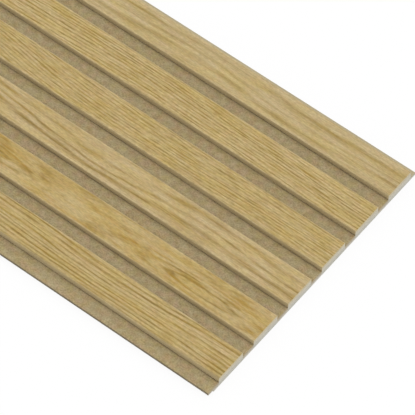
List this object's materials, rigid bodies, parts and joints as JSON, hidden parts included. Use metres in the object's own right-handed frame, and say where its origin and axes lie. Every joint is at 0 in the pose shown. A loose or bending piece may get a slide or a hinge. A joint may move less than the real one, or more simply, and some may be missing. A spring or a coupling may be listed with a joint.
{
  "type": "slatted acoustic wall panel",
  "caption": "Long board of foamed plastic with flat oak-film slats above plain grooves, and lapped lips along both sides so that boards cover a wall in one even pattern.",
  "frame": {"origin": "middle of the flat back, at the centre of the board's length and overall width", "axes": "+X along the slats, +Y across them towards the lower lip, +Z out of the back towards the slats"},
  "size_m": [2.4, 0.2458, 0.01],
  "materials": {
    "slatted_panel": "foamed plastic with a matt oak-print film on the slats, a plain grey-brown film on the groove floors and bare pale foam on the ends, the back and the lower lip"
  },
  "bodies": {
    "root": {"slatted_panel": "slatted_panel"}
  },
  "joints": []
}
